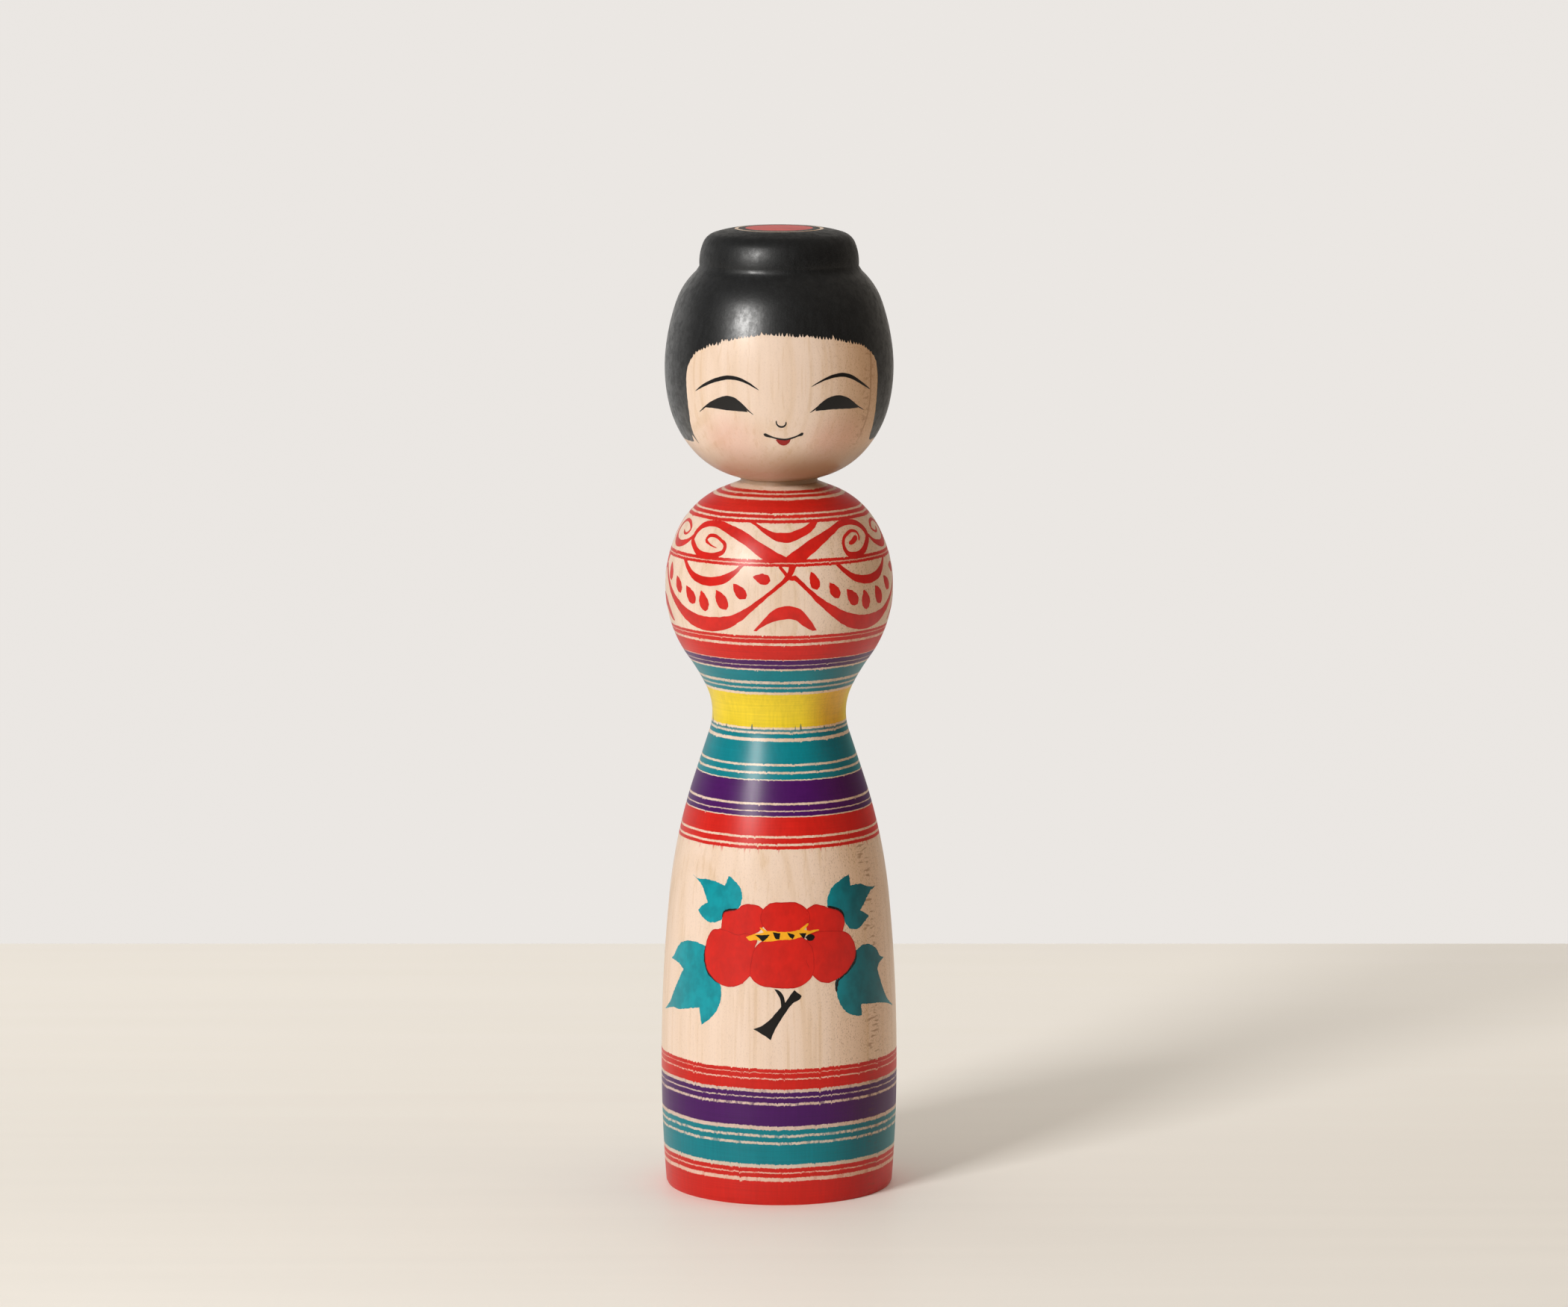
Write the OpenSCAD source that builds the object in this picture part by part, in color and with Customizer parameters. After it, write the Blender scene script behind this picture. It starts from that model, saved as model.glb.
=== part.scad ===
// Turned wooden doll in two pieces: a pinched-waist body, and a head whose neck peg turns in the body.
// Lengths in millimetres. Z runs up the turning axis, the origin is the middle of the base, the face looks along -Y.

/* [Body] */
// Height of the body, from the base to the flat that the head sits on
body_h = 178.6; // [173:0.2:185]
// Diameter across the base, just above its eased edge
base_d = 57.2; // [54:0.1:58.4]
// Diameter of the skirt at its widest
skirt_d = 59.5; // [59:0.1:61]
// Diameter of the skirt where it starts to draw in
hip_d = 55.4; // [54.6:0.1:56.4]
// Diameter halfway up the flare, below the waist
flare_d = 43; // [42:0.1:44]
// Diameter just below the waist
waist_low_d = 35.1; // [34.4:0.1:36]
// Diameter just above the waist
waist_high_d = 36.5; // [35.8:0.1:37.4]
// Diameter under the chest, where it swells out
bust_d = 45.5; // [44.8:0.1:46.2]
// Diameter of the chest near its widest
chest_d = 56.8; // [55.6:0.1:57.6]
// Diameter of the upper shoulder
shoulder_d = 48.7; // [47.6:0.1:49.6]
// Diameter of the collar, just below the neck
collar_d = 28; // [26.6:0.1:29.2]
// Diameter of the flat that the head sits on
land_d = 19.9; // [19.4:0.1:20.6]
// Easing of the edge around the base
base_edge = 0.8; // [0.4:0.1:1.2]

/* [Head] */
// Height of the head and topknot above the body
head_h = 63.4; // [61:0.2:65.4]
// Diameter of the short neck under the head
neck_d = 19.2; // [18.6:0.1:19.4]
// Diameter under the chin
chin_d = 24.2; // [23.6:0.1:24.8]
// Diameter of the jaw
jaw_d = 43.6; // [42.8:0.1:44.4]
// Diameter of the cheeks
cheek_d = 55.1; // [54.4:0.1:55.8]
// Diameter at the eyes
eye_d = 56.4; // [55.8:0.1:57]
// Diameter at the fringe of the hair
fringe_d = 51.4; // [50.6:0.1:52.2]
// Diameter where the head meets the topknot
crease_d = 41.3; // [40.8:0.1:41.8]
// Diameter of the topknot
knot_d = 39.6; // [39:0.1:40]
// Diameter of the flat top that carries the painted disc
disc_d = 22.2; // [21:0.1:23]

/* [Neck peg] */
// Diameter of the peg
peg_d = 13; // [11:0.1:14]
// Length of the peg below the head
peg_l = 17; // [15:0.5:22]
// Height of the bead on the peg, which holds the head in
bead_h = 0.4; // [0.2:0.05:0.6]
// Running clearance around the peg, on the radius
peg_gap = 0.05; // [0.02:0.01:0.1]

/* [Hidden] */
wood = [0.92, 0.84, 0.74];
around = 96;
bow_error = 0.02;
overlap = 0.2;
bead_r = 3;
bead_up = 4.5;
peg_chamfer = 0.8;
socket_spare = 1;
mouth_chamfer = 0.6;
dome_h = 0.2;
knot_start = 86;
total_h = body_h + head_h;
peg_r = peg_d / 2;
dome_r = (disc_d * disc_d / 4 + dome_h * dome_h) / (2 * dome_h);

// Outline points as [radius, height], from the base up. Their heights follow body_h and head_h.
body_rise = body_h / 178.6;
body_points = [
    [base_d / 2, base_edge],
    [skirt_d / 2, 31 * body_rise],
    [hip_d / 2, 73.6 * body_rise],
    [flare_d / 2, 103.5 * body_rise],
    [waist_low_d / 2, 115.6 * body_rise],
    [waist_high_d / 2, 127 * body_rise],
    [bust_d / 2, 134.6 * body_rise],
    [chest_d / 2, 150 * body_rise],
    [shoulder_d / 2, 168.1 * body_rise],
    [collar_d / 2, 177 * body_rise],
    [land_d / 2, body_h]
];
head_rise = head_h / 63.4;
head_points = [
    [neck_d / 2, body_h + 1 * head_rise],
    [chin_d / 2, body_h + 1.8 * head_rise],
    [jaw_d / 2, body_h + 8.3 * head_rise],
    [cheek_d / 2, body_h + 20 * head_rise],
    [eye_d / 2, body_h + 33.7 * head_rise],
    [fringe_d / 2, body_h + 44.8 * head_rise],
    [crease_d / 2, body_h + 52.6 * head_rise]
];
knot_points = [
    [knot_d / 2, body_h + 53.9 * head_rise],
    [knot_d / 2 - 0.9, body_h + 59.6 * head_rise],
    [knot_d / 2 - 3.6, body_h + 62.1 * head_rise],
    [disc_d / 2, total_h - dome_h]
];
neck_top = head_points[0][1];
crease_z = head_points[6][1];
knot_z = knot_points[0][1];

// Direction from one outline point to another
function heading(p, q) = atan2(q[1] - p[1], q[0] - p[0]);

// Direction in which the outline leaves point i: each arc starts the way the one before it ended
function leaving(pts, start, i) = i == 0 ? start : 2 * heading(pts[i - 1], pts[i]) - leaving(pts, start, i - 1);

// Turn between the chord from point i and the direction in which the outline leaves it
function bend(pts, start, i) = heading(pts[i], pts[i + 1]) - leaving(pts, start, i);

// Enough sides for a circle of this radius to stay within bow_error of round
function sides(r) = max(around, ceil(180 / acos(1 - bow_error / r)));

// The slice between the chord p to q and the arc that leaves p in direction dir
module arc_slice(p, q, dir) {
    chord = norm(q - p);
    turn = heading(p, q) - dir;
    radius = chord / (2 * sin(turn));
    bow = 1.2 * abs(chord / 2 * tan(turn / 2));
    intersection() {
        translate(p + radius * [-sin(dir), cos(dir)])
            circle(r = abs(radius), $fn = sides(abs(radius)));
        translate(p)
            rotate(heading(p, q))
                translate([0, turn > 0 ? -bow - overlap : -overlap])
                    square([chord, bow + 2 * overlap]);
    }
}

// Half outline of a turned shape: the points joined by arcs that run smoothly into each other
module turned_outline(pts, start) {
    last = len(pts) - 1;
    difference() {
        union() {
            polygon(concat([[0, pts[0][1]]], pts, [[0, pts[last][1]]]));
            for (i = [0 : last - 1])
                if (bend(pts, start, i) > 0)
                    arc_slice(pts[i], pts[i + 1], leaving(pts, start, i));
        }
        for (i = [0 : last - 1])
            if (bend(pts, start, i) < 0)
                arc_slice(pts[i], pts[i + 1], leaving(pts, start, i));
    }
}

module turned(pts, start) {
    rotate_extrude($fn = around)
        turned_outline(pts, start);
}

// The peg with its bead, or the room for it when grown by the running clearance
module peg(grow, length, chamfer) {
    translate([0, 0, body_h - length])
        cylinder(h = chamfer, r1 = peg_r + grow - chamfer, r2 = peg_r + grow, $fn = around);
    translate([0, 0, body_h - length + chamfer])
        cylinder(h = length - chamfer, r = peg_r + grow, $fn = around);
    rotate_extrude($fn = around)
        translate([peg_r + bead_h - bead_r, body_h - peg_l + bead_up])
            circle(r = bead_r + grow, $fn = around);
}

// Slight crown on the flat top of the topknot
module dome() {
    rotate_extrude($fn = around)
        intersection() {
            translate([0, total_h - dome_r])
                circle(r = dome_r, $fn = sides(dome_r));
            translate([0, total_h - dome_h - overlap])
                square([disc_d / 2, dome_h + overlap]);
        }
}

module body() {
    color(wood)
        difference() {
            union() {
                cylinder(h = base_edge, r1 = base_d / 2 - base_edge / 2, r2 = base_d / 2, $fn = around);
                turned(body_points, 2 * heading(body_points[0], body_points[1]) - 90);
            }
            peg(peg_gap, peg_l + socket_spare, peg_chamfer);
            translate([0, 0, body_h - mouth_chamfer])
                cylinder(h = mouth_chamfer, r1 = peg_r + peg_gap, r2 = peg_r + peg_gap + mouth_chamfer,
                         $fn = around);
        }
}

module head() {
    color(wood) {
        translate([0, 0, body_h])
            cylinder(h = neck_top - body_h, r = neck_d / 2, $fn = around);
        turned(head_points, heading(head_points[0], head_points[1]));
        translate([0, 0, crease_z])
            cylinder(h = knot_z - crease_z, r1 = crease_d / 2, r2 = knot_d / 2, $fn = around);
        turned(knot_points, knot_start);
        dome();
        peg(0, peg_l, peg_chamfer);
    }
}

body();
head();
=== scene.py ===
"""Turned wooden doll with hand painted face, friezes and flower, built around its solid frame."""

import math

import bpy
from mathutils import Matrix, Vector, noise


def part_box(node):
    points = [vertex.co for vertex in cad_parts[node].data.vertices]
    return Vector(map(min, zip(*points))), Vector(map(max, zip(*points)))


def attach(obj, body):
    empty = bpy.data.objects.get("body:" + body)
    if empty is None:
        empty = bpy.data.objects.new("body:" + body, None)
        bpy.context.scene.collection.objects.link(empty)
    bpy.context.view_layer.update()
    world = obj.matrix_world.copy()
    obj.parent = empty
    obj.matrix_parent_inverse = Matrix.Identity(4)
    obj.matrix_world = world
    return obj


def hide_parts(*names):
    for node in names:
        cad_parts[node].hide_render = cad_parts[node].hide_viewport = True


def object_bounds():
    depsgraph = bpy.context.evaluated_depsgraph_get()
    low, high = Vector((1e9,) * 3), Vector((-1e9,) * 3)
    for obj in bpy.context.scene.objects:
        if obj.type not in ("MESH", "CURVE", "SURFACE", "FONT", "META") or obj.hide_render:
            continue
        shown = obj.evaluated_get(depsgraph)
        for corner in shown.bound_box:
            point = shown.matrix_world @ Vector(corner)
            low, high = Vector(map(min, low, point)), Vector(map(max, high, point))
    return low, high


bl_info = {
    "name": "Turned Wooden Doll",
    "version": (1, 0, 0),
    "blender": (4, 5, 0),
    "location": "3D View > Sidebar > Doll",
    "description": "Turns and paints a two piece wooden doll around its solid frame",
    "category": "Object",
}

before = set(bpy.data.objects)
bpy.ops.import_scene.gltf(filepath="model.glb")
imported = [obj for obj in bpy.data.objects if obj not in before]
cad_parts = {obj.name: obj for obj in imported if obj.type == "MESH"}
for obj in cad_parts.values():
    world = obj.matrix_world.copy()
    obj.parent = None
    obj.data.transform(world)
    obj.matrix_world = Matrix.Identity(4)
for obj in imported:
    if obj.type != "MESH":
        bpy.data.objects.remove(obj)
CAD_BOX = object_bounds()
BODY_LOW, BODY_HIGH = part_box("body")
HEAD_LOW, HEAD_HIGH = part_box("head")

MM = 0.001
FACE_RADIUS = 28.5  # distances round the doll are measured on a circle of this radius, in mm
ROUND = 2 * math.pi * FACE_RADIUS
SPIN_STEPS = 192
PAINT_IN = 0.1 * MM  # how far a film of paint reaches into the wood, so that its edge is closed
BLEED = 0.11  # how far dye has crept into the thin gaps between its bands, in mm
SETTLE = 0.25  # brush marks and dyed bands all sit this much lower than their tables say, in mm


# ---------------------------------------------------------------- sizes and colours

def length(label, text, millimetres):
    return bpy.props.FloatProperty(name=label, description=text, default=millimetres * MM,
                                   min=0, precision=5, unit="LENGTH")


def linear(value):
    value /= 255
    return value / 12.92 if value <= 0.04045 else ((value + 0.055) / 1.055) ** 2.4


def pigment(label, text, red, green, blue):
    return bpy.props.FloatVectorProperty(name=label, description=text, subtype="COLOR", size=3, min=0, max=1,
                                         default=(linear(red), linear(green), linear(blue)))


class DollSizes(bpy.types.PropertyGroup):
    """Sizes of the turned shapes"""
    body_top: length("Body height", "Height of the flat that the head sits on", BODY_HIGH.z / MM)
    base: length("Base", "Diameter across the base, just above its eased edge", 57.2)
    skirt: length("Skirt", "Diameter of the skirt at its widest", 59.5)
    hip: length("Hip", "Diameter where the skirt starts to draw in", 55.4)
    flare: length("Flare", "Diameter halfway up the flare", 43)
    waist_low: length("Waist, low", "Diameter just below the waist", 35.1)
    waist_high: length("Waist, high", "Diameter just above the waist", 36.5)
    bust: length("Bust", "Diameter where the chest swells out", 45.5)
    chest: length("Chest", "Diameter of the chest near its widest", 56.8)
    shoulder: length("Shoulder", "Diameter of the upper shoulder", 48.7)
    collar: length("Collar", "Diameter just below the neck", 28)
    land: length("Land", "Diameter of the flat that the head sits on", 19.9)
    base_edge: length("Base edge", "Easing of the edge around the base", 0.8)
    head_top: length("Head height", "Height of the top of the topknot", HEAD_HIGH.z / MM)
    neck: length("Neck", "Diameter of the short neck", 19.2)
    chin: length("Chin", "Diameter under the chin", 24.2)
    jaw: length("Jaw", "Diameter of the jaw", 43.6)
    cheek: length("Cheek", "Diameter of the cheeks", 55.1)
    eye: length("Eyes", "Diameter at the eyes", 56.4)
    fringe: length("Fringe", "Diameter at the fringe of the hair", 51.4)
    crease: length("Crease", "Diameter where the head meets the topknot", 41.3)
    knot: length("Topknot", "Diameter of the topknot", 39.6)
    crown: length("Crown", "Diameter of the flat top that carries the painted disc", 22.2)
    dome: length("Crown rise", "Rise of the crown's slight dome", 0.2)
    peg: length("Peg", "Diameter of the neck peg", 13)
    peg_length: length("Peg length", "Length of the peg below the head", BODY_HIGH.z / MM - HEAD_LOW.z / MM)
    bead: length("Bead", "How far the bead stands out of the peg", 0.4)
    gap: length("Clearance", "Running clearance around the peg", 0.05)
    lift: length("Paint", "Height of a film of paint above the wood", 0.03)


class DollPaints(bpy.types.PropertyGroup):
    """Colours of the wood and of the paints"""
    wood: pigment("Wood", "Pale close grained wood", 240, 215, 195)
    warm: pigment("Warm wood", "Streaks and growth rings", 222, 190, 156)
    # painted shade: a darker wood tone laid over the right side of the doll, away from the light
    shaded_side: pigment("Shaded side", "Darker wood towards the right of the face", 206, 166, 128)
    fleck: pigment("Flecks", "Pores and ray flecks", 148, 98, 60)
    red: pigment("Red", "Red dye", 208, 32, 22)
    purple: pigment("Purple", "Purple dye", 73, 13, 94)
    teal: pigment("Teal", "Blue green dye", 0, 128, 140)
    leaf: pigment("Leaves", "Blue green of the leaves", 0, 148, 160)
    rim: pigment("Petal rims", "Deeper red that has gathered at the rims of the petals", 188, 22, 16)
    yellow: pigment("Yellow", "Yellow dye", 238, 208, 44)
    black: pigment("Black", "Ink of the hair", 12, 13, 14)
    ink: pigment("Fine ink", "Ink of the brush lines", 14, 11, 10)
    lip: pigment("Lip", "Red of the mouth", 150, 26, 20)
    blush: pigment("Blush", "Pink of the cheeks", 226, 158, 142)
    stamen: pigment("Stamens", "Yellow of the stamens", 244, 172, 34)


class StudioLook(bpy.types.PropertyGroup):
    """Floor, backdrop and lights"""
    floor: pigment("Floor", "Pale table top", 251, 247, 241)
    backdrop: pigment("Backdrop", "Pale wall", 235, 231, 227)
    key_power: bpy.props.FloatProperty(name="Key light", description="Power of the soft main light",
                                       default=18.5, min=0, unit="POWER")
    key_size: length("Key size", "Side of the square main light", 420)
    sky_power: bpy.props.FloatProperty(name="Ceiling light", description="Power of the wide light overhead",
                                       default=30, min=0, unit="POWER")
    warm_power: bpy.props.FloatProperty(name="Warm light", description="Power of the warm light at the right",
                                        default=1.5, min=0, unit="POWER")
    surround: bpy.props.FloatProperty(name="Surround", description="Strength of the pale surroundings",
                                      default=1.0, min=0)


# ---------------------------------------------------------------- turned outlines

def heading(a, b):
    return math.atan2(b[1] - a[1], b[0] - a[0])


def arc_chain(points, start, step=0.9 * MM):
    """The points joined by arcs that run smoothly into each other, as a fine line"""
    line, direction = [points[0]], start
    for a, b in zip(points, points[1:]):
        chord = math.dist(a, b)
        turn = heading(a, b) - direction
        radius = chord / (2 * math.sin(turn))
        centre = (a[0] - radius * math.sin(direction), a[1] + radius * math.cos(direction))
        count = max(2, math.ceil(abs(2 * turn * radius) / step), math.ceil(abs(2 * turn) / 0.14))
        for i in range(1, count):
            angle = direction + 2 * turn * i / count
            line.append((centre[0] + radius * math.sin(angle), centre[1] - radius * math.cos(angle)))
        line.append(b)
        direction = 2 * heading(a, b) - direction
    return line


def body_line(sizes):
    """Outline of the body from its eased base edge up to the land"""
    rise = sizes.body_top / 178.6
    widths = (sizes.base, sizes.skirt, sizes.hip, sizes.flare, sizes.waist_low, sizes.waist_high,
              sizes.bust, sizes.chest, sizes.shoulder, sizes.collar, sizes.land)
    heights = (sizes.base_edge / rise, 31, 73.6, 103.5, 115.6, 127, 134.6, 150, 168.1, 177, 178.6)
    points = [(width / 2, height * rise) for width, height in zip(widths, heights)]
    return arc_chain(points, 2 * heading(points[0], points[1]) - math.pi / 2)


def head_line(sizes):
    """Outline of the head from the neck, over the topknot, to the middle of its crown"""
    low, rise = sizes.body_top, (sizes.head_top - sizes.body_top) / 63.4
    widths = (sizes.neck, sizes.chin, sizes.jaw, sizes.cheek, sizes.eye, sizes.fringe, sizes.crease)
    heights = (1, 1.8, 8.3, 20, 33.7, 44.8, 52.6)
    head = [(width / 2, low + height * rise) for width, height in zip(widths, heights)]
    knot = [(sizes.knot / 2, low + 53.9 * rise), (sizes.knot / 2 - 0.9 * MM, low + 59.6 * rise),
            (sizes.knot / 2 - 3.6 * MM, low + 62.1 * rise), (sizes.crown / 2, sizes.head_top - sizes.dome)]
    line = arc_chain(head, heading(head[0], head[1]) + 1e-6)
    line += [((head[-1][0] + knot[0][0]) / 2, (head[-1][1] + knot[0][1]) / 2)]
    line += arc_chain(knot, math.radians(86))
    edge = sizes.crown / 2
    sphere = (edge ** 2 + sizes.dome ** 2) / (2 * sizes.dome)
    for i in range(1, 13):
        radius = edge * (1 - i / 12)
        line.append((radius, sizes.head_top - sphere + math.sqrt(sphere ** 2 - radius ** 2)))
    return line


def peg_line(sizes, grow, length_down, chamfer=0.8 * MM):
    """Outline of the peg from the bottom up, or of its room when grown by the clearance"""
    radius, low = sizes.peg / 2 + grow, sizes.body_top - length_down
    ball, middle = 3 * MM, sizes.body_top - sizes.peg_length + 4.5 * MM
    inset = sizes.bead - ball + sizes.peg / 2
    reach = math.acos((radius - inset) / (ball + grow))
    bead = [(inset + (ball + grow) * math.cos(reach * i / 6),
             middle + (ball + grow) * math.sin(reach * i / 6)) for i in range(-6, 7)]
    return [(0, low), (radius - chamfer, low), (radius, low + chamfer)] + bead


class Outline:
    """A turned outline with the distance along it and the way its surface faces"""

    def __init__(self, line):
        self.line = line
        self.along = [0.0]
        for a, b in zip(line, line[1:]):
            self.along.append(self.along[-1] + math.dist(a, b))
        flat = [Vector((b[1] - a[1], a[0] - b[0])).normalized() for a, b in zip(line, line[1:])]
        self.facing = [(a + b).normalized() for a, b in zip([flat[0]] + flat, flat + [flat[-1]])]
        self.heights = [point[1] for point in line]

    def _between(self, values, wanted):
        low, high = 0, len(values) - 1
        while high - low > 1:
            middle = (low + high) // 2
            low, high = (middle, high) if values[middle] <= wanted else (low, middle)
        span = values[high] - values[low]
        return low, min(1, max(0, (wanted - values[low]) / span if span else 0))

    def length_at(self, height):
        i, part = self._between(self.heights, height)
        return self.along[i] + part * (self.along[i + 1] - self.along[i])

    def spot(self, distance, lift):
        """Radius and height of the point this far along the outline, raised off the surface"""
        i, part = self._between(self.along, distance)
        (ra, za), (rb, zb) = self.line[i], self.line[i + 1]
        face = self.facing[i].lerp(self.facing[i + 1], part).normalized()
        return ra + (rb - ra) * part + face.x * lift, za + (zb - za) * part + face.y * lift


# ---------------------------------------------------------------- modelling by hand

def start_fresh():
    if bpy.context.object and bpy.context.object.mode != "OBJECT":
        bpy.ops.object.mode_set(mode="OBJECT")
    bpy.ops.object.select_all(action="DESELECT")


def take(piece):
    start_fresh()
    piece.select_set(True)
    bpy.context.view_layer.objects.active = piece


def finish_piece(piece, name, paint, body):
    """Names the piece, gives it its finish and lets it ride with the body it belongs to"""
    if not piece.data.polygons:
        raise RuntimeError(f"{name} came out empty")
    piece.name = piece.data.name = name
    piece.data.materials.clear()
    piece.data.materials.append(paint)
    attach(piece, body)
    return piece


def spin_round(line, steps=SPIN_STEPS):
    """A closed turned shape: one point drawn out along the outline, then spun round the axis"""
    start_fresh()
    bpy.ops.mesh.primitive_plane_add(size=2 * MM)
    piece = bpy.context.object
    bpy.ops.object.mode_set(mode="EDIT")
    bpy.ops.mesh.select_all(action="SELECT")
    bpy.ops.mesh.merge(type="CENTER")
    bpy.ops.transform.translate(value=(line[0][0], 0, line[0][1]))
    for a, b in zip(line, line[1:]):
        bpy.ops.mesh.extrude_region_move(TRANSFORM_OT_translate={"value": (b[0] - a[0], 0, b[1] - a[1])})
    bpy.ops.mesh.select_all(action="SELECT")
    bpy.ops.mesh.spin(steps=steps, angle=2 * math.pi, center=(0, 0, 0), axis=(0, 0, 1))
    bpy.ops.mesh.select_all(action="SELECT")
    bpy.ops.mesh.remove_doubles(threshold=0.001 * MM)
    bpy.ops.mesh.normals_make_consistent(inside=False)
    bpy.ops.object.mode_set(mode="OBJECT")
    bpy.ops.object.shade_smooth_by_angle(angle=math.radians(28))
    return piece


def run_through(points, step, closed=False):
    """A smooth line through the points, in steps of about this length"""
    count = len(points)
    pairs = [(points[i], points[(i + 1) % count]) for i in range(count if closed else count - 1)]
    chords = [math.dist(a[:2], b[:2]) for a, b in pairs]
    slopes = [((b[0] - a[0]) / d, (b[1] - a[1]) / d) for (a, b), d in zip(pairs, chords)]
    tangents = []
    for i in range(count):
        if not closed and i in (0, count - 1):
            tangents.append(slopes[0] if i == 0 else slopes[-1])
            continue
        before, after = chords[i - 1], chords[i % len(chords)]
        m, n = slopes[i - 1], slopes[i % len(chords)]
        tangents.append(((m[0] * after + n[0] * before) / (before + after),
                         (m[1] * after + n[1] * before) / (before + after)))
    line = []
    for i, ((a, b), chord) in enumerate(zip(pairs, chords)):
        ta, tb = tangents[i], tangents[(i + 1) % count]
        parts = max(1, round(chord / step))
        for k in range(parts):
            t = k / parts
            h = (2 * t ** 3 - 3 * t ** 2 + 1, t ** 3 - 2 * t ** 2 + t,
                 3 * t ** 2 - 2 * t ** 3, t ** 3 - t ** 2)
            line.append(tuple(h[0] * a[j] + h[1] * chord * ta[j] + h[2] * b[j] + h[3] * chord * tb[j]
                              for j in (0, 1)))
    return line if closed else line + [tuple(points[-1][:2])]


def loop_through(points, step=0.4):
    """A closed line through the points, smooth except at those marked with a third value"""
    tips = [i for i, point in enumerate(points) if len(point) == 3]
    if not tips:
        return run_through(points, step, closed=True)
    points = points[tips[0]:] + points[:tips[0]]
    tips = [i - tips[0] for i in tips] + [len(points)]
    points = points + points[:1]
    line = []
    for a, b in zip(tips, tips[1:]):
        line += run_through(points[a:b + 1], step)[:-1]
    return line


def unsteady(line, size, pitch=1.1):
    """The line as a hand would draw it, off by up to this much"""
    return [(x + size * noise.noise(Vector((x, y, 0)) / pitch),
             y + size * noise.noise(Vector((x, y, 9)) / pitch)) for x, y in line]


def feathered(points, sway, fray):
    """A closed line through the points, swaying a little and frayed where paint crept along the grain"""
    return unsteady(unsteady(loop_through(points, 0.22), sway, 0.8), fray, 0.34)


def spread(line, count):
    """That many points, evenly spaced along a line"""
    along = [0.0]
    for a, b in zip(line, line[1:]):
        along.append(along[-1] + math.dist(a, b))
    made, i = [], 0
    for k in range(count):
        wanted = along[-1] * k / (count - 1)
        while i < len(line) - 2 and along[i + 1] < wanted:
            i += 1
        part = (wanted - along[i]) / ((along[i + 1] - along[i]) or 1)
        made.append(tuple(line[i][j] + (line[i + 1][j] - line[i][j]) * part for j in (0, 1)))
    return made


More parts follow.
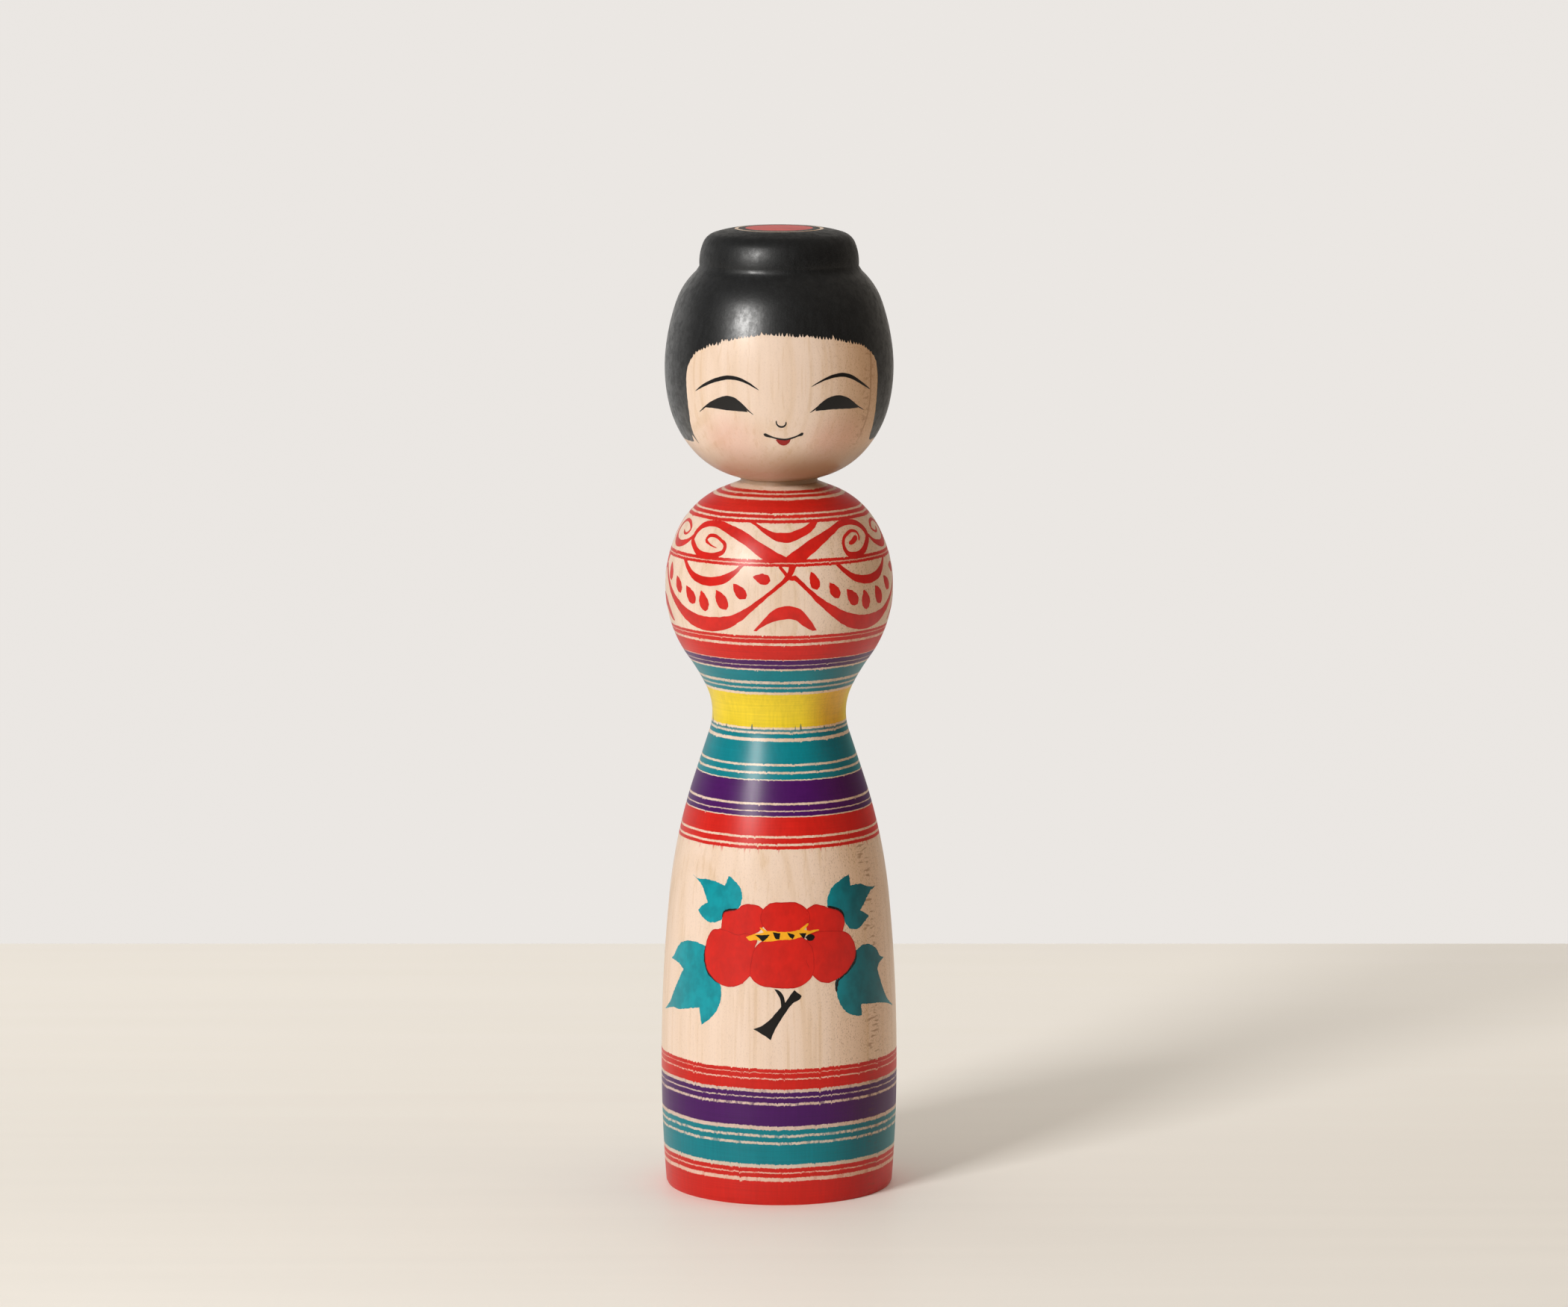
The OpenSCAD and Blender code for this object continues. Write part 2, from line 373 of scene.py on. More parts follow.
class Painting:
    """Brush marks made flat, wrapped one by one on a turned outline, joined and given paint's thickness.
    Their places are in mm: round the doll from the middle of the front, and up from the floor."""

    def __init__(self, outline, lift):
        self.outline, self.lift, self.marks = outline, lift, []

    def _wrap(self, piece, level, along):
        mesh = piece.data
        if sum(face.normal.y * face.area for face in mesh.polygons) > 0:
            mesh.flip_normals()
        lift = self.lift + level * 0.006 * MM
        for point in mesh.vertices:
            flat = point.co.z if along else point.co.z - SETTLE * MM
            radius, height = self.outline.spot(flat if along else self.outline.length_at(flat), lift)
            turn = point.co.x / MM / FACE_RADIUS
            point.co = (radius * math.sin(turn), -radius * math.cos(turn), height)
        mesh.update()
        self.marks.append(piece)

    def patch(self, loop, level=0, step=1.2, along=False, creases=()):
        """A filled shape: a many sided face, cut into small faces that can follow the surface"""
        start_fresh()
        bpy.ops.mesh.primitive_circle_add(vertices=len(loop), radius=MM, fill_type="NGON")
        piece = bpy.context.object
        for point, (x, z) in zip(piece.data.vertices, loop):
            point.co = (x * MM, 0, z * MM)
        bpy.ops.object.mode_set(mode="EDIT")
        for axis in (0, 1):
            values = [point[axis] for point in loop]
            low, high = min(values), max(values)
            cuts = max(1, round((high - low) / step))
            places = [low + (high - low) * i / cuts for i in range(1, cuts)]
            if axis:
                places = [place for place in places
                          if all(abs(place - crease) > step / 3 for crease in creases)]
                places += list(creases)
            for place in places:
                where = place + 0.00037
                bpy.ops.mesh.select_all(action="SELECT")
                bpy.ops.mesh.bisect(plane_co=(where * MM, 0, where * MM), plane_no=(1 - axis, 0, axis))
        bpy.ops.mesh.select_all(action="SELECT")
        bpy.ops.mesh.vert_connect_concave()
        bpy.ops.object.mode_set(mode="OBJECT")
        self._wrap(piece, level, along)

    def between(self, left, right, level=0, step=0.6, wobble=0.1):
        """A brush mark between its two edges"""
        left = unsteady(run_through(left, step / 2), wobble)
        right = unsteady(run_through(right, step / 2), wobble)
        reach = max(sum(math.dist(a, b) for a, b in zip(edge, edge[1:])) for edge in (left, right))
        count = max(6, math.ceil(reach / step))
        self._ribbon(spread(left, count + 1), spread(right, count + 1), level)

    def line(self, points, widths, level=0, step=0.5, wobble=0.06):
        """A brush mark along a line, as wide as stated at each of its points, with round ends"""
        if not isinstance(widths, (list, tuple)):
            widths = [widths] * len(points)
        path = run_through(points, step / 2)
        count = max(6, math.ceil(sum(math.dist(a, b) for a, b in zip(path, path[1:])) / step))
        path = spread(path, count + 1)
        marks = [0.0]
        for a, b in zip(points, points[1:]):
            marks.append(marks[-1] + math.dist(a, b))
        far = [0.0]
        for a, b in zip(path, path[1:]):
            far.append(far[-1] + math.dist(a, b))
        left, right = [], []
        for k, (x, y) in enumerate(path):
            before, after = path[max(0, k - 1)], path[min(count, k + 1)]
            dx, dy = after[0] - before[0], after[1] - before[1]
            size = math.hypot(dx, dy)
            share = far[k] / far[-1] * marks[-1]
            i = max(j for j in range(len(points) - 1) if marks[j] <= share + 1e-9)
            part = (share - marks[i]) / (marks[i + 1] - marks[i])
            half = (widths[i] + (widths[i + 1] - widths[i]) * part) / 2
            end = min(far[k], far[-1] - far[k])
            if end < half:
                half *= math.sqrt(max(0.02, 1 - (1 - end / half) ** 2))
            nx, ny = -dy / size * half, dx / size * half
            left.append((x + nx, y + ny))
            right.append((x - nx, y - ny))
        self._ribbon(unsteady(left, wobble, 0.8), unsteady(right, wobble, 0.8), level)

    def _ribbon(self, left, right, level):
        start_fresh()
        count = len(left) - 1
        bpy.ops.mesh.primitive_grid_add(x_subdivisions=count, y_subdivisions=4, size=2)
        piece = bpy.context.object
        for point in piece.data.vertices:
            k = round((point.co.x + 1) / 2 * count)
            share = (0, 0.16, 0.5, 0.84, 1)[round((point.co.y + 1) * 2)]
            point.co = ((left[k][0] + (right[k][0] - left[k][0]) * share) * MM, 0,
                        (left[k][1] + (right[k][1] - left[k][1]) * share) * MM)
        piece.data.update()
        self._wrap(piece, level, False)

    def finish(self, name, paint, body, closed=False):
        """One piece of all the marks, closed round its edges"""
        start_fresh()
        for mark in self.marks:
            mark.select_set(True)
        piece = bpy.context.view_layer.objects.active = self.marks[0]
        if len(self.marks) > 1:
            bpy.ops.object.join()
        if closed:
            bpy.ops.object.mode_set(mode="EDIT")
            bpy.ops.mesh.select_all(action="SELECT")
            bpy.ops.mesh.remove_doubles(threshold=0.002 * MM)
            bpy.ops.object.mode_set(mode="OBJECT")
        film = piece.modifiers.new("Film", "SOLIDIFY")
        film.thickness, film.offset = PAINT_IN, -1
        bpy.ops.object.modifier_apply(modifier=film.name)
        bpy.ops.object.shade_smooth_by_angle(angle=math.radians(50))
        return finish_piece(piece, name, paint, body)


def copy_round(piece, count, body):
    """Copies of a piece, evenly spaced round the axis, each with its own mesh"""
    name = piece.name.removesuffix("_1")
    for i in range(1, count):
        take(piece)
        bpy.ops.object.duplicate(linked=False)
        again = bpy.context.object
        again.rotation_euler.z = 2 * math.pi * i / count
        bpy.ops.object.transform_apply(location=False, rotation=True, scale=False)
        finish_piece(again, f"{name}_{i + 1}", piece.data.materials[0], body)


# ---------------------------------------------------------------- shader maths

class Wire:
    """A value in a material. Sums and products of wires add the Math nodes that they need."""

    def __init__(self, board, socket):
        self.board, self.socket = board, socket

    def _math(self, operation, a, b):
        return self.board.node("ShaderNodeMath", {"operation": operation}, {0: a, 1: b})

    def __add__(self, other):
        return self._math("ADD", self, other)

    def __radd__(self, other):
        return self._math("ADD", other, self)

    def __sub__(self, other):
        return self._math("SUBTRACT", self, other)

    def __rsub__(self, other):
        return self._math("SUBTRACT", other, self)

    def __mul__(self, other):
        return self._math("MULTIPLY", self, other)

    def __rmul__(self, other):
        return self._math("MULTIPLY", other, self)

    def __truediv__(self, other):
        return self._math("DIVIDE", self, other)

    def power(self, other):
        return self._math("POWER", self, other)

    def top(self, other):
        return self._math("MAXIMUM", self, other)

    def out(self, name):
        """Another output of the same node"""
        return Wire(self.board, self.socket.node.outputs[name])

    def rise(self, low, high, kind="SMOOTHSTEP"):
        """0 below the low value, 1 above the high one, and smooth between them"""
        if low > high:
            return 1 - self.rise(high, low, kind)
        return self.board.node("ShaderNodeMapRange", {"interpolation_type": kind},
                               {"Value": self, "From Min": low, "From Max": high})


class Board:
    """The nodes of a material, or of the world round the stage"""

    def __init__(self, owner):
        if isinstance(owner, str):
            owner = bpy.data.materials.new(owner)
        owner.use_nodes = True
        self.material, self.tree = owner, owner.node_tree
        self.surface = self.tree.nodes.get("Principled BSDF") or self.tree.nodes["Background"]

    def node(self, kind, settings=None, values=None, out=0):
        node = self.tree.nodes.new(kind)
        for key, value in (settings or {}).items():
            if key == "stops":
                ramp = node.color_ramp
                ramp.interpolation = "CONSTANT"
                for i, (place, tint) in enumerate(value):
                    stop = ramp.elements[0] if i == 0 else ramp.elements.new(place)
                    stop.position, stop.color = place, tint
                ramp.elements.remove(ramp.elements[-1])
            else:
                setattr(node, key, value)
        for key, value in (values or {}).items():
            if isinstance(value, Wire):
                self.tree.links.new(value.socket, node.inputs[key])
            else:
                node.inputs[key].default_value = value
        return Wire(self, node.outputs[out])

    def set(self, values):
        for key, value in values.items():
            if isinstance(value, Wire):
                self.tree.links.new(value.socket, self.surface.inputs[key])
            else:
                self.surface.inputs[key].default_value = value

    def mix(self, factor, a, b, kind="MIX"):
        """Colour a turning into colour b"""
        return self.node("ShaderNodeMix", {"data_type": "RGBA", "blend_type": kind},
                         {0: factor, 6: a, 7: b}, out=2)

    def dim(self, tint, share):
        """A colour made lighter or darker by a value"""
        tint = tint if isinstance(tint, Wire) else tint[:3]
        return self.node("ShaderNodeVectorMath", {"operation": "SCALE"}, {0: tint, 3: share})

    def place(self):
        """Where on the doll, in mm"""
        where = self.node("ShaderNodeTexCoord", out="Object")
        return self.node("ShaderNodeVectorMath", {"operation": "SCALE"}, {0: where, 3: 1 / MM})

    def cloud(self, where, stretch, detail=2.0, rough=0.5):
        """Noise with this many waves to a mm along each axis"""
        where = self.node("ShaderNodeVectorMath", {"operation": "MULTIPLY"}, {0: where, 1: stretch})
        return self.node("ShaderNodeTexNoise", None,
                         {"Vector": where, "Scale": 1.0, "Detail": detail, "Roughness": rough})

    def bump(self, height, strength, distance):
        return self.node("ShaderNodeBump", None, {"Height": height, "Strength": strength,
                                                  "Distance": distance * MM})


def rgba(tint, share=1.0, strength=1.0):
    return (tint[0] * share, tint[1] * share, tint[2] * share, strength)


class Grain:
    """The pale wood, one block for every piece, with its middle far off to the right and behind. Its right
    side carries painted shade: the wood, and what is dyed or painted over it, is darker there, away from the
    light
    """

    def __init__(self, board, paints):
        self.board, self.mm = board, board.place()
        split = board.node("ShaderNodeSeparateXYZ", None, {0: self.mm})
        x, y, self.z = split, split.out(1), split.out(2)
        self.turn = board.node("ShaderNodeMath", {"operation": "ARCTAN2"}, {0: x, 1: 0 - y})
        bend = board.cloud(self.mm, (0.03, 0.03, 0.006)) * 7
        away = ((x - 70).power(2) + (y - 47).power(2)).power(0.5) + bend
        waves = board.node("ShaderNodeMath", {"operation": "SINE"}, {0: away * 1.9})
        self.fibre = board.cloud(self.mm, (1.5, 1.5, 0.05), 3.0, 0.6)
        streak = board.cloud(self.mm, (0.17, 0.17, 0.006), 3.0, 0.55)
        ring = waves.rise(0.35, 1.0) * board.cloud(self.mm, (0.09, 0.09, 0.01)).rise(0.35, 0.7)
        side = self.turn.rise(0.15, 0.8) * self.turn.rise(1.5, 1.05)
        pore = board.cloud(self.mm, (3.9, 3.9, 2.2), 1.0).rise(0.58, 0.68) * (0.2 + 0.8 * side)
        hairline = board.cloud(self.mm, (0.85, 0.85, 0.014), 2.0, 0.6).rise(0.55, 0.66)
        strip = self.turn + (board.cloud(self.mm, (0.02, 0.02, 0.05)) - 0.5) * 0.12
        strip = strip.rise(0.82, 0.88) * strip.rise(1.04, 0.97) * self.z.rise(93, 90)
        fleck = board.cloud(self.mm, (0.34, 0.34, 1.5), 1.0, 0.4).rise(0.54, 0.66) * strip
        self.mark = (pore * 0.42).top(fleck * 0.5)
        tone = board.mix(streak.rise(0.38, 0.72) * 0.4 + ring * 0.3 + hairline * 0.35,
                         rgba(paints.wood), rgba(paints.warm))
        # painted shade: the wood is darkened towards the right, away from the light, more so on the head, and
        # the dyes and paints over it are darkened there too
        self.shaded_side = shaded_side = self.turn.rise(0.25, 0.85) * self.turn.rise(1.45, 1.0)
        tone = board.mix(shaded_side * (0.6 + self.z.rise(178, 195) * 0.3), tone, rgba(paints.shaded_side))
        self.shade = board.mix(shaded_side, (1, 1, 1, 1), (0.84, 0.6, 0.62, 1))
        tone = board.dim(tone, 0.95 + self.fibre * 0.1)
        self.colour = board.mix(self.mark, tone, rgba(paints.fleck))
        turned = board.cloud(self.mm, (0.03, 0.03, 5.0), 1.0)
        self.height = self.fibre * 0.55 + turned * 0.3 - self.mark * 0.35

    def satin(self, colour, soft=0.3, height=None, coat=0.2):
        """A thin wax sheen over the colour"""
        board = self.board
        board.set({"Base Color": colour, "Roughness": soft + self.fibre * 0.14 + self.mark * 0.1,
                   "Specular IOR Level": 0.25, "Coat Weight": coat, "Coat Roughness": 0.29,
                   "Normal": board.bump(self.height if height is None else height, 0.5, 0.03)})
        return board.material


# Dyed bands from the floor up, in four groups: height where each starts in mm, dye, and how much of it.
# The thin gaps keep a little of the dye beside them, which is what runs across them in places.
BASE_BANDS = (
    (0, "red", 1), (6.4, "red", 0.05), (7.56, "red", 1), (8.33, "red", 0.3), (9, "red", 1),
    (9.78, "teal", 0.03), (11.0, "teal", 1), (15.97, "teal", 0.12), (16.8, "teal", 1),
    (17.78, "teal", 0.1), (18.6, "teal", 1), (19.64, "purple", 0.04), (20.85, "purple", 1),
    (25.92, "purple", 0.1), (26.8, "purple", 1), (27.8, "purple", 0.14), (28.3, "purple", 1),
    (29.18, "purple", 0.05), (30.12, "red", 1), (32.5, "red", 0.22), (32.93, "red", 1),
    (34.0, "red", 0.2), (34.34, "red", 1), (35.28, "red", 0))
FLARE_BANDS = (
    (60, "red", 0), (89.95, "red", 1), (90.62, "red", 0.05), (91.18, "red", 1), (92.3, "red", 0.05),
    (93.05, "red", 1), (97.42, "purple", 0.03), (97.98, "purple", 1), (98.62, "purple", 0.12),
    (99.1, "purple", 1), (100.42, "purple", 0.04), (101.05, "purple", 1), (106.12, "teal", 0.03),
    (106.72, "teal", 1), (107.72, "teal", 0.05), (108.6, "teal", 1), (109.62, "teal", 0.05),
    (110.48, "teal", 1), (115.5, "teal", 0.03), (116.48, "teal", 1), (117.35, "teal", 0.1),
    (118.02, "teal", 0.9), (118.48, "yellow", 0.03), (119.0, "yellow", 1), (127.55, "yellow", 0.05))
BUST_BANDS = (
    (124, "teal", 0), (128.25, "teal", 1), (129.1, "teal", 0.35), (129.77, "teal", 1),
    (130.38, "teal", 0.14), (131.35, "teal", 1), (134.15, "purple", 0.04), (134.83, "purple", 1),
    (135.53, "purple", 0.22), (135.97, "purple", 1), (136.97, "red", 0.15), (137.4, "red", 1),
    (141.03, "red", 0.08), (141.83, "red", 1), (142.69, "red", 0.3), (143.07, "red", 1), (143.78, "red", 0))
SHOULDER_BANDS = (
    (155, "red", 0), (160.97, "red", 1), (161.52, "red", 0.3), (162.0, "red", 1), (162.6, "red", 0),
    (171.04, "red", 1), (171.68, "red", 0.06), (172.3, "red", 1), (172.8, "red", 0.05), (173.47, "red", 1),
    (175.93, "red", 0.03), (176.63, "red", 1), (176.98, "red", 0.05), (177.43, "red", 1), (177.93, "red", 0))


def dyed_wood(paints):
    """Wood with turned bands of dye, ragged at their edges and broken where they are thin"""
    board = Board("dyed_wood")
    grain = Grain(board, paints)
    mm, z = grain.mm, grain.z
    low = z.rise(62, 38)
    ragged = (board.cloud(mm, (2.8, 2.8, 0.3), 3.0, 0.7) - 0.5) * (0.6 + low * 0.35)
    wander = (board.cloud(mm, (0.12, 0.12, 0.02), 1.0) - 0.5) * (0.25 + low * 0.3)
    runs = board.cloud(mm, (1.7, 1.7, 0.04), 1.0).rise(0.62, 0.74) * (0.25 + low * 0.05)
    climbs = board.cloud(mm, (1.1, 1.1, 0.12), 1.0) - (z - 118.5) * 0.07
    climbs = climbs.rise(0.63, 0.68) * z.rise(117.9, 118.3)
    level = z + SETTLE + ragged + wander + runs
    drips = board.cloud(mm, (1.4, 1.4, 0.06), 1.0).rise(0.6, 0.68)
    drips = drips * z.rise(88.2, 89.7) * z.rise(90, 89.9) * 0.6
    across = board.cloud(mm, (0.7, 0.7, 0.2), 3.0, 0.75)
    colour = grain.colour
    turned = board.cloud(mm, (0.05, 0.05, 3.2), 2.0, 0.6)
    depth = (0.74 + board.cloud(mm, (0.22, 0.22, 0.1), 2.0) * 0.2 + turned * 0.32) * (1 - low * 0.08)
    for bands, end in ((BASE_BANDS, 40), (FLARE_BANDS, 127.9), (BUST_BANDS, 148), (SHOULDER_BANDS, 179)):
        start, stops = bands[0][0], []
        for i, (height, dye, share) in enumerate(bands):
            if 0 < i < len(bands) - 1:
                bare, under = share < 0.5, bands[i - 1]
                thin = (bands[i + 1][0] - height if bare else height - under[0]) < 1.3
                if thin and (bare or under[2] < 0.5):
                    height += BLEED if bare else -BLEED
            stops.append(((height - start) / (end - start), rgba(getattr(paints, dye), 1, share)))
        dye = board.node("ShaderNodeValToRGB", {"stops": stops}, {0: (level - start) / (end - start)})
        share = dye.out(1)
        thin = share.rise(0.0, 0.09) * across.rise(0.46, 0.62)
        share = share.top(thin * (0.4 + low * 0.35)).top(share.rise(0.0, 0.02) * low * 0.22)
        if bands is BASE_BANDS:
            share = share * z.rise(0.02, 0.06)
        if bands is FLARE_BANDS:
            share = share.top(drips) * z.rise(127.95, 127.9)
        # the dye is darkened towards the right by the painted shade
        tint = board.dim(board.mix(1, dye, grain.shade, "MULTIPLY"), depth * (0.86 + grain.fibre * 0.28))
        colour = board.mix(share, colour, tint)
    colour = board.mix(climbs * 0.8, colour, rgba(paints.teal, 0.45))
    colour = board.mix(grain.mark * 0.4, colour, rgba(paints.fleck, 0.35))
    return grain.satin(colour, coat=0.2 - low * 0.14)


def face_wood(paints):
    """Wood of the head, with pink rubbed into the cheeks and painted shade under the chin, warm like light
    thrown up from the red shoulders
    """
    board = Board("face_wood")
    grain = Grain(board, paints)
    across = grain.turn * FACE_RADIUS
    cheeks = 0
    for middle in (-14, 17):
        far = ((across - middle).power(2) + ((grain.z - 191) * 1.25).power(2)).power(0.5)
        cheeks = far.rise(13, 2) * (0.8 + grain.fibre * 0.3) + cheeks
    soft = board.cloud(grain.mm, (0.12, 0.12, 0.08), 2.0)
    colour = board.mix(cheeks * (0.2 + soft * 0.3), grain.colour, rgba(paints.blush))
    # painted shade under the chin, warm as if lit by light bounced off the shoulders, and deeper towards the
    # right
    under = grain.z.rise(192, 183) * (0.62 + grain.turn.rise(-0.25, 0.35) * 0.33)
    colour = board.mix(under, colour, rgba(paints.shaded_side, 0.6))
    line = (grain.turn - 0.925 + (soft - 0.5) * 0.04)
    line = line.rise(-0.018, 0) * line.rise(0.018, 0) * grain.z.rise(189, 193) * 0.6
    knots = board.cloud(grain.mm, (0.55, 0.55, 1.0), 2.0, 0.6).rise(0.52, 0.64)
    knots = knots * grain.turn.rise(0.78, 0.86) * grain.turn.rise(1.0, 0.92) * grain.z.rise(186, 190) * 0.4
    colour = board.mix(line.top(knots), colour, rgba(paints.fleck))
    return grain.satin(colour)


def brush_paint(name, paints, tint, uneven=0.3, side_shade=0):
    """Paint laid on with a brush: thicker in places, the grain just showing, and darker towards the right as
    painted shade
    """
    board = Board(name)
    grain = Grain(board, paints)
    pool = board.cloud(grain.mm, (0.3, 0.3, 0.24), 3.0, 0.6)
    strokes = board.cloud(grain.mm, (1.1, 1.1, 0.5), 2.0, 0.6)
    colour = board.mix(pool.rise(0.35, 0.68) * uneven, rgba(tint, 1.08), rgba(tint, 0.72))
    # painted shade darkens the paint towards the right, and more so where asked
    colour = board.dim(board.mix(1, colour, grain.shade, "MULTIPLY"),
                       (0.9 + strokes * 0.2) * (1 - grain.shaded_side * side_shade))
    height = grain.height * 0.7 + pool * 0.5
    return grain.satin(colour, 0.26, height)


def hair_black(paints):
    """Close black with a satin gloss, broken up and down by the grain under it"""
    board = Board("hair_black")
    grain = Grain(board, paints)
    worn = board.cloud(grain.mm, (0.7, 0.7, 0.06), 3.0, 0.7)
    dust = board.cloud(grain.mm, (1.6, 1.6, 1.2), 1.0).rise(0.68, 0.76)
    colour = board.mix(worn.rise(0.35, 0.8) * 0.4 + dust * 0.2, rgba(paints.black), rgba(paints.black, 4))
    tooth = board.cloud(grain.mm, (2.2, 2.2, 1.5), 3.0, 0.7)
    patch = board.cloud(grain.mm, (0.5, 0.5, 0.45), 4.0, 0.75).rise(0.34, 0.64)
    rough = 0.4 - patch * 0.12 + worn * 0.12 + dust * 0.1 + grain.z.rise(231, 233) * 0.1
    gloss = (0.5 + patch * 0.5) * (0.45 + grain.z.rise(233, 230) * 0.55)
    board.set({"Base Color": colour, "Roughness": rough, "Coat Weight": gloss,
               "Specular IOR Level": 0.4, "Coat Roughness": 0.31,
               "Normal": board.bump(grain.height + worn * 0.3 + tooth * 1.2, 0.8, 0.04)})
    return board.material


# ---------------------------------------------------------------- brush marks, in mm round and up

FACE_EDGE = [
    (-30.4, 190.2), (-29.5, 191.9), (-28, 189.9), (-28.4, 191.8), (-28, 194.5), (-27.3, 197),
    (-26.9, 200), (-26.7, 204), (-26.6, 207), (-26.3, 208.5), (-25.5, 210.5), (-24.5, 212), (-23, 213.5),
    (-20.5, 214.5), (-18, 215.5), (-16, 215.7), (-15.4, 216.4), (-13, 216.9), (-10, 217.6), (-7, 218),
    (-4, 218.5), (0, 218.3), (4, 218), (8, 217.9), (11, 217.3), (14, 217.1), (17, 216.5), (20, 215.8),
    (23, 215.3), (25, 214.3), (26.5, 213.3), (27.8, 212), (28.6, 210.3), (29, 208), (29.2, 205),
    (29.5, 201), (30, 198), (31, 194.5), (32, 192), (33.2, 190.6)]
BROWS = {
    "brow_left": ([(-23.3, 203.6), (-20, 205.4), (-16.5, 206.8), (-13, 207.6), (-10, 207.3), (-7, 206),
                   (-5, 204.7)], [0.15, 0.7, 0.98, 1.02, 0.85, 0.5, 0.14]),
    "brow_right": ([(8, 205.5), (11, 207), (14, 207.9), (16.5, 208.1), (19, 207.5), (22, 206), (26, 203.8)],
                   [0.14, 0.5, 0.85, 1.0, 0.98, 0.7, 0.2])}
EYES = {
    "eye_left": ([(-20.7, 199.7, 1), (-18.6, 201), (-16.2, 202.2), (-13.6, 202.9), (-11.9, 202.7),
                  (-10, 201.6), (-8.5, 199.9), (-8, 199.2, 1), (-11.5, 199.35), (-15, 199.5),
                  (-18.4, 199.75)],
                 [(-22.7, 198.4), (-20.8, 199.6), (-18.4, 201), (-16, 202.1), (-13.4, 202.8), (-11.6, 202.5),
                  (-9.9, 201.4), (-8.3, 199.9), (-6.6, 198.5)]),
    "eye_right": ([(9.3, 199.4, 1), (9.9, 200.5), (12, 202.1), (14.5, 202.9), (16.5, 202.8), (19, 201.8),
                   (21.2, 200.4), (22.2, 199.5, 1), (19.6, 199.5), (17, 199.6), (13, 199.6)],
                  [(7.9, 199), (9.4, 200), (12, 202), (14.5, 202.8), (16.5, 202.7), (19, 201.7),
                   (21.4, 200.2), (24.4, 198.8)])}


class DOLL_OT_turn_body(bpy.types.Operator):
    """Turn the body, with the room for the neck peg, from dyed wood"""
    bl_idname = "doll.turn_body"
    bl_label = "Turn the body"

    def execute(self, context):
        sizes = context.scene.doll_sizes
        mouth = sizes.peg / 2 + sizes.gap
        room = peg_line(sizes, sizes.gap, sizes.peg_length + MM)
        base = sizes.base / 2 - sizes.base_edge / 2
        line = [(base * i / 8, 0) for i in range(9)] + body_line(sizes)
        line += [(mouth + 0.6 * MM, sizes.body_top), (mouth, sizes.body_top - 0.6 * MM)] + room[::-1]
        body = finish_piece(spin_round(line), "turned_body", dyed_wood(context.scene.doll_paints), "body")
        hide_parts("body")
        return {"FINISHED"}


class DOLL_OT_turn_head(bpy.types.Operator):
    """Turn the head, with its topknot and neck peg, from the same wood"""
    bl_idname = "doll.turn_head"
    bl_label = "Turn the head"

    def execute(self, context):
        sizes = context.scene.doll_sizes
        line = peg_line(sizes, 0, sizes.peg_length) + [(sizes.peg / 2, sizes.body_top - MM)]
        line += [(sizes.peg / 2, sizes.body_top), (sizes.neck / 2, sizes.body_top)] + head_line(sizes)
        head = finish_piece(spin_round(line), "turned_head", face_wood(context.scene.doll_paints), "head")
        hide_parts("head")
        return {"FINISHED"}


class DOLL_OT_paint_hair(bpy.types.Operator):
    """Paint the bobbed hair over the head and topknot, with the ring and red disc on its crown"""
    bl_idname = "doll.paint_hair"
    bl_label = "Paint the hair"

    def execute(self, context):
        sizes, paints = context.scene.doll_sizes, context.scene.doll_paints
        outline = Outline(head_line(sizes))
        lift = sizes.lift
        black = hair_black(paints)

        def along(height):
            return outline.length_at((height - SETTLE) * MM) / MM

        fringe = []
        for x, z in run_through(FACE_EDGE, 0.16):
            top = min(1, max(0, (z - 210) / 2.5))
            tooth = x * 1.12 + 0.8 * noise.noise(Vector((x * 0.7, 3, 0)))
            gap = abs(tooth % 1 - 0.5) * 2
            reach = 0.85 + 1.2 * noise.noise(Vector((math.floor(tooth) * 1.37, 7.5, 0)))
            spike = gap ** 1.8 * max(0.4, reach)
            side = noise.noise(Vector((z * 0.8, 5, 0))) * 0.12
            fringe.append((x + side * (1 - top), z + (spike * 0.85 - 0.4) * top))
        half = ROUND / 2
        hem = [(x, 190.1 + 0.35 * noise.noise(Vector((x * 0.7, 1, 0)))) for x in
               [-half + i * 0.6 for i in range(int((half - 30.6) / 0.6))]]
        hem_right = [(x, 190.3 + 0.35 * noise.noise(Vector((x * 0.7, 1, 0)))) for x in
                     [half - i * 0.6 for i in range(int((half - 33.2) / 0.6))]]
        hem[0], hem_right[0] = (-half, 190.1), (half, 190.1)
        loop = [(x, along(z)) for x, z in hem + fringe + hem_right[::-1]]
        rim = outline.length_at(sizes.head_top - sizes.dome)
        loop += [(half, rim / MM), (-half, rim / MM)]
        creases = [far / MM for far, (radius, height) in zip(outline.along, outline.line)
                   if height > 0.93 * sizes.head_top and far < rim - MM / 9]
        hair = Painting(outline, lift)
        hair.patch(loop, step=1.5, along=True, creases=creases)
        hair.finish("hair", black, "head", closed=True)

        total = outline.along[-1]
        for name, outer, inner, paint in (
                ("crown_ring", 10.2, 8.4, black),
                ("crown_disc", 8.4, 0.0, brush_paint("crown_red", paints, paints.red))):
            count = 5
            radii = [outer + (inner - outer) * i / count for i in range(count + 1)]
            top = [outline.spot(total - radius * MM, lift) for radius in radii]
            under = [outline.spot(total - radius * MM, lift - PAINT_IN) for radius in radii]
            if inner == 0:
                line = [(max(0, r), z) for r, z in under[::-1] + top]
                line[0], line[-1] = (0, line[0][1]), (0, line[-1][1])
            else:
                line = under[::-1] + top + under[-1:]
            finish_piece(spin_round(line, 144), name, paint, "head")
        return {"FINISHED"}


